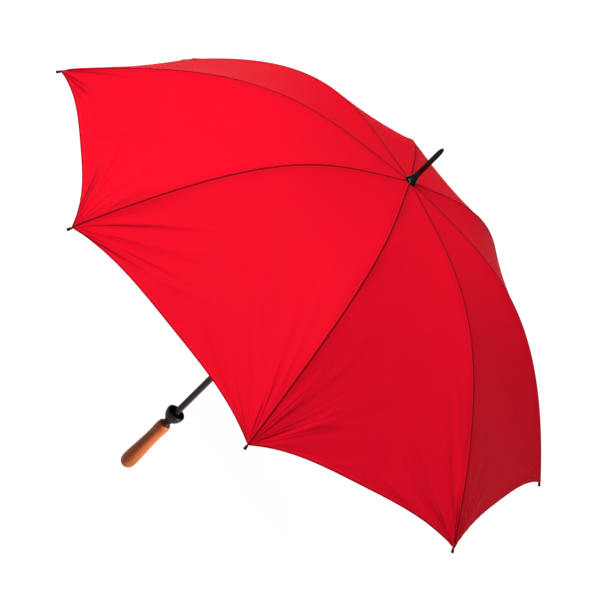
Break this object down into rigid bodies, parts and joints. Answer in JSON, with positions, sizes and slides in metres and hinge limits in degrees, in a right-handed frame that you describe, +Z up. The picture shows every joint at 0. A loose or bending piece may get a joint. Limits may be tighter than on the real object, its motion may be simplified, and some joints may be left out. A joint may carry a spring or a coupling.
{
  "type": "stick umbrella",
  "caption": "Open stick umbrella with a scalloped red canopy on flexing ribs and stretchers, black shaft and spike, tip cup and a turned wooden handle.",
  "frame": {"origin": "centre of the handle's bottom end, on the shaft's axis", "axes": "+Z up the shaft towards the spike; +X towards rib 1; ribs are numbered clockwise seen from above"},
  "size_m": [1.3112, 1.3112, 1.0247],
  "materials": {
    "canopy_fabric": "satin",
    "frame_steel": "satin",
    "rib_fibreglass": "satin",
    "clip_steel": "satin",
    "bright_steel": "polished",
    "black_plastic": "satin",
    "ferrule_black": "gloss",
    "shaft_black": "satin",
    "handle_wood": "gloss"
  },
  "bodies": {
    "shaft": {"shaft_tube": "shaft_black", "handle": "handle_wood", "tip_cup": "black_plastic", "ferrule": "ferrule_black", "cover_washer": "black_plastic", "crown_notch": "black_plastic", "crown_wire": "bright_steel", "cross_pins": "bright_steel"},
    "runner": {"runner": "black_plastic"},
    "top_catch": {"top_catch": "bright_steel"},
    "bottom_catch": {"bottom_catch": "bright_steel"},
    "rib_1": {"rib_inner_1": "frame_steel", "rib_joint_1": "clip_steel", "canopy_panel_1": "canopy_fabric"},
    "rib_tip_1": {"rib_outer_1": "rib_fibreglass", "tip_cap_1": "black_plastic"},
    "stretcher_1": {"stretcher_1": "frame_steel"},
    "rib_2": {"rib_inner_2": "frame_steel", "rib_joint_2": "clip_steel", "canopy_panel_2": "canopy_fabric"},
    "rib_tip_2": {"rib_outer_2": "rib_fibreglass", "tip_cap_2": "black_plastic"},
    "stretcher_2": {"stretcher_2": "frame_steel"},
    "rib_3": {"rib_inner_3": "frame_steel", "rib_joint_3": "clip_steel", "canopy_panel_3": "canopy_fabric"},
    "rib_tip_3": {"rib_outer_3": "rib_fibreglass", "tip_cap_3": "black_plastic"},
    "stretcher_3": {"stretcher_3": "frame_steel"},
    "rib_4": {"rib_inner_4": "frame_steel", "rib_joint_4": "clip_steel", "canopy_panel_4": "canopy_fabric"},
    "rib_tip_4": {"rib_outer_4": "rib_fibreglass", "tip_cap_4": "black_plastic"},
    "stretcher_4": {"stretcher_4": "frame_steel"},
    "rib_5": {"rib_inner_5": "frame_steel", "rib_joint_5": "clip_steel", "canopy_panel_5": "canopy_fabric"},
    "rib_tip_5": {"rib_outer_5": "rib_fibreglass", "tip_cap_5": "black_plastic"},
    "stretcher_5": {"stretcher_5": "frame_steel"},
    "rib_6": {"rib_inner_6": "frame_steel", "rib_joint_6": "clip_steel", "canopy_panel_6": "canopy_fabric"},
    "rib_tip_6": {"rib_outer_6": "rib_fibreglass", "tip_cap_6": "black_plastic"},
    "stretcher_6": {"stretcher_6": "frame_steel"},
    "rib_7": {"rib_inner_7": "frame_steel", "rib_joint_7": "clip_steel", "canopy_panel_7": "canopy_fabric"},
    "rib_tip_7": {"rib_outer_7": "rib_fibreglass", "tip_cap_7": "black_plastic"},
    "stretcher_7": {"stretcher_7": "frame_steel"},
    "rib_8": {"rib_inner_8": "frame_steel", "rib_joint_8": "clip_steel", "canopy_panel_8": "canopy_fabric"},
    "rib_tip_8": {"rib_outer_8": "rib_fibreglass", "tip_cap_8": "black_plastic"},
    "stretcher_8": {"stretcher_8": "frame_steel"}
  },
  "joints": [
    {"name": "runner_slide", "type": "slide", "parent": "shaft", "child": "runner", "axis": [0, 0, -1], "range_m": [0, 0.44531], "deforming": ["canopy_panel_1", "canopy_panel_2", "canopy_panel_3", "canopy_panel_4", "canopy_panel_5", "canopy_panel_6", "canopy_panel_7", "canopy_panel_8", "top_catch", "bottom_catch"]},
    {"name": "top_catch_press", "type": "slide", "parent": "shaft", "child": "top_catch", "axis": [0.9239, 0.3827, 0], "range_m": [0, 0.0032], "stiffness_N_per_m": 900},
    {"name": "bottom_catch_press", "type": "slide", "parent": "shaft", "child": "bottom_catch", "axis": [0.9239, 0.3827, 0], "range_m": [0, 0.0032], "stiffness_N_per_m": 900},
    {"name": "rib_1_fold", "type": "hinge", "parent": "shaft", "child": "rib_1", "pos_m": [0.011, 0, 0.92115], "axis": [0, 1, 0], "range_deg": [0, 79.59]},
    {"name": "rib_1_straighten", "type": "hinge", "parent": "rib_1", "child": "rib_tip_1", "pos_m": [0.33642, 0, 0.87081], "axis": [0, -1, 0], "range_deg": [0, 27.75]},
    {"name": "stretcher_1_turn", "type": "hinge", "parent": "rib_1", "child": "stretcher_1", "pos_m": [0.32532, 0, 0.86892], "axis": [0, -1, 0], "range_deg": [0, 138.67]},
    {"name": "rib_2_fold", "type": "hinge", "parent": "shaft", "child": "rib_2", "pos_m": [0.00778, -0.00778, 0.92115], "axis": [0.7071, 0.7071, 0], "range_deg": [0, 79.59]},
    {"name": "rib_2_straighten", "type": "hinge", "parent": "rib_2", "child": "rib_tip_2", "pos_m": [0.23789, -0.23789, 0.87081], "axis": [-0.7071, -0.7071, 0], "range_deg": [0, 27.75]},
    {"name": "stretcher_2_turn", "type": "hinge", "parent": "rib_2", "child": "stretcher_2", "pos_m": [0.23004, -0.23004, 0.86892], "axis": [-0.7071, -0.7071, 0], "range_deg": [0, 138.67]},
    {"name": "rib_3_fold", "type": "hinge", "parent": "shaft", "child": "rib_3", "pos_m": [0, -0.011, 0.92115], "axis": [1, 0, 0], "range_deg": [0, 79.59]},
    {"name": "rib_3_straighten", "type": "hinge", "parent": "rib_3", "child": "rib_tip_3", "pos_m": [0, -0.33642, 0.87081], "axis": [-1, 0, 0], "range_deg": [0, 27.75]},
    {"name": "stretcher_3_turn", "type": "hinge", "parent": "rib_3", "child": "stretcher_3", "pos_m": [0, -0.32532, 0.86892], "axis": [-1, 0, 0], "range_deg": [0, 138.67]},
    {"name": "rib_4_fold", "type": "hinge", "parent": "shaft", "child": "rib_4", "pos_m": [-0.00778, -0.00778, 0.92115], "axis": [0.7071, -0.7071, 0], "range_deg": [0, 79.59]},
    {"name": "rib_4_straighten", "type": "hinge", "parent": "rib_4", "child": "rib_tip_4", "pos_m": [-0.23789, -0.23789, 0.87081], "axis": [-0.7071, 0.7071, 0], "range_deg": [0, 27.75]},
    {"name": "stretcher_4_turn", "type": "hinge", "parent": "rib_4", "child": "stretcher_4", "pos_m": [-0.23004, -0.23004, 0.86892], "axis": [-0.7071, 0.7071, 0], "range_deg": [0, 138.67]},
    {"name": "rib_5_fold", "type": "hinge", "parent": "shaft", "child": "rib_5", "pos_m": [-0.011, 0, 0.92115], "axis": [0, -1, 0], "range_deg": [0, 79.59]},
    {"name": "rib_5_straighten", "type": "hinge", "parent": "rib_5", "child": "rib_tip_5", "pos_m": [-0.33642, 0, 0.87081], "axis": [0, 1, 0], "range_deg": [0, 27.75]},
    {"name": "stretcher_5_turn", "type": "hinge", "parent": "rib_5", "child": "stretcher_5", "pos_m": [-0.32532, 0, 0.86892], "axis": [0, 1, 0], "range_deg": [0, 138.67]},
    {"name": "rib_6_fold", "type": "hinge", "parent": "shaft", "child": "rib_6", "pos_m": [-0.00778, 0.00778, 0.92115], "axis": [-0.7071, -0.7071, 0], "range_deg": [0, 79.59]},
    {"name": "rib_6_straighten", "type": "hinge", "parent": "rib_6", "child": "rib_tip_6", "pos_m": [-0.23789, 0.23789, 0.87081], "axis": [0.7071, 0.7071, 0], "range_deg": [0, 27.75]},
    {"name": "stretcher_6_turn", "type": "hinge", "parent": "rib_6", "child": "stretcher_6", "pos_m": [-0.23004, 0.23004, 0.86892], "axis": [0.7071, 0.7071, 0], "range_deg": [0, 138.67]},
    {"name": "rib_7_fold", "type": "hinge", "parent": "shaft", "child": "rib_7", "pos_m": [0, 0.011, 0.92115], "axis": [-1, 0, 0], "range_deg": [0, 79.59]},
    {"name": "rib_7_straighten", "type": "hinge", "parent": "rib_7", "child": "rib_tip_7", "pos_m": [0, 0.33642, 0.87081], "axis": [1, 0, 0], "range_deg": [0, 27.75]},
    {"name": "stretcher_7_turn", "type": "hinge", "parent": "rib_7", "child": "stretcher_7", "pos_m": [0, 0.32532, 0.86892], "axis": [1, 0, 0], "range_deg": [0, 138.67]},
    {"name": "rib_8_fold", "type": "hinge", "parent": "shaft", "child": "rib_8", "pos_m": [0.00778, 0.00778, 0.92115], "axis": [-0.7071, 0.7071, 0], "range_deg": [0, 79.59]},
    {"name": "rib_8_straighten", "type": "hinge", "parent": "rib_8", "child": "rib_tip_8", "pos_m": [0.23789, 0.23789, 0.87081], "axis": [0.7071, -0.7071, 0], "range_deg": [0, 27.75]},
    {"name": "stretcher_8_turn", "type": "hinge", "parent": "rib_8", "child": "stretcher_8", "pos_m": [0.23004, 0.23004, 0.86892], "axis": [0.7071, -0.7071, 0], "range_deg": [0, 138.67]}
  ],
  "couplings": [
    {"joint": "rib_1_fold", "follows": "runner_slide", "rad_per_m": 3.1188},
    {"joint": "rib_1_straighten", "follows": "runner_slide", "rad_per_m": 1.0869},
    {"joint": "stretcher_1_turn", "follows": "runner_slide", "rad_per_m": 5.4342},
    {"joint": "rib_2_fold", "follows": "runner_slide", "rad_per_m": 3.1188},
    {"joint": "rib_2_straighten", "follows": "runner_slide", "rad_per_m": 1.0869},
    {"joint": "stretcher_2_turn", "follows": "runner_slide", "rad_per_m": 5.4342},
    {"joint": "rib_3_fold", "follows": "runner_slide", "rad_per_m": 3.1188},
    {"joint": "rib_3_straighten", "follows": "runner_slide", "rad_per_m": 1.0869},
    {"joint": "stretcher_3_turn", "follows": "runner_slide", "rad_per_m": 5.4342},
    {"joint": "rib_4_fold", "follows": "runner_slide", "rad_per_m": 3.1188},
    {"joint": "rib_4_straighten", "follows": "runner_slide", "rad_per_m": 1.0869},
    {"joint": "stretcher_4_turn", "follows": "runner_slide", "rad_per_m": 5.4342},
    {"joint": "rib_5_fold", "follows": "runner_slide", "rad_per_m": 3.1188},
    {"joint": "rib_5_straighten", "follows": "runner_slide", "rad_per_m": 1.0869},
    {"joint": "stretcher_5_turn", "follows": "runner_slide", "rad_per_m": 5.4342},
    {"joint": "rib_6_fold", "follows": "runner_slide", "rad_per_m": 3.1188},
    {"joint": "rib_6_straighten", "follows": "runner_slide", "rad_per_m": 1.0869},
    {"joint": "stretcher_6_turn", "follows": "runner_slide", "rad_per_m": 5.4342},
    {"joint": "rib_7_fold", "follows": "runner_slide", "rad_per_m": 3.1188},
    {"joint": "rib_7_straighten", "follows": "runner_slide", "rad_per_m": 1.0869},
    {"joint": "stretcher_7_turn", "follows": "runner_slide", "rad_per_m": 5.4342},
    {"joint": "rib_8_fold", "follows": "runner_slide", "rad_per_m": 3.1188},
    {"joint": "rib_8_straighten", "follows": "runner_slide", "rad_per_m": 1.0869},
    {"joint": "stretcher_8_turn", "follows": "runner_slide", "rad_per_m": 5.4342}
  ]
}
